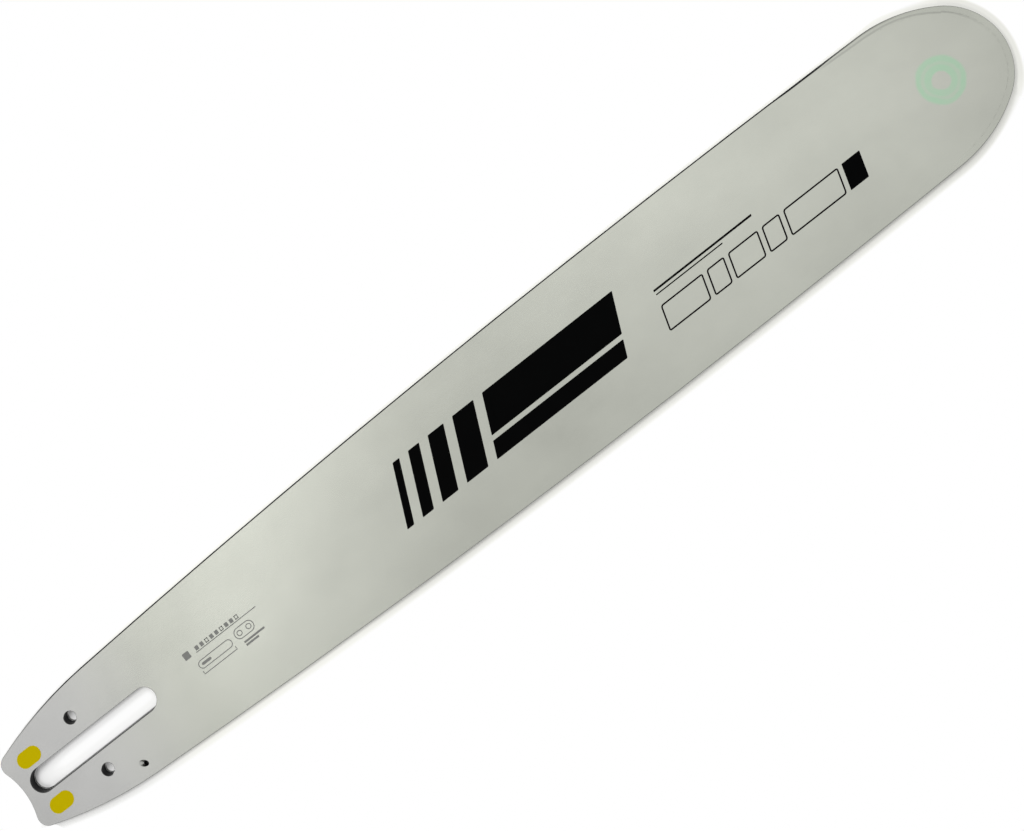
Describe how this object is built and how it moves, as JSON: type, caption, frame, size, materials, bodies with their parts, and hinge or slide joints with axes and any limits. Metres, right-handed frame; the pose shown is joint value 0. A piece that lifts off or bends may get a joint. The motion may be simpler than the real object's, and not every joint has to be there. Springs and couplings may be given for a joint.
{
  "type": "chainsaw guide bar",
  "caption": "Flat solid-nose guide bar with a round nose, chain groove round its edge, long stud slot, tensioner holes and slanted oil inlets at the tail.",
  "frame": {"origin": "middle of the stud slot, on the back face that lies on the surface", "axes": "+X along the bar to the nose, +Y across it, +Z out of the front face"},
  "size_m": [0.5757, 0.0778, 0.0048],
  "materials": {
    "plate_steel": "satin ground",
    "hard_alloy": "ground weld deposit"
  },
  "bodies": {
    "root": {"bar_body": "plate_steel", "nose_hardfacing_front": "hard_alloy", "nose_hardfacing_back": "hard_alloy"}
  },
  "joints": []
}
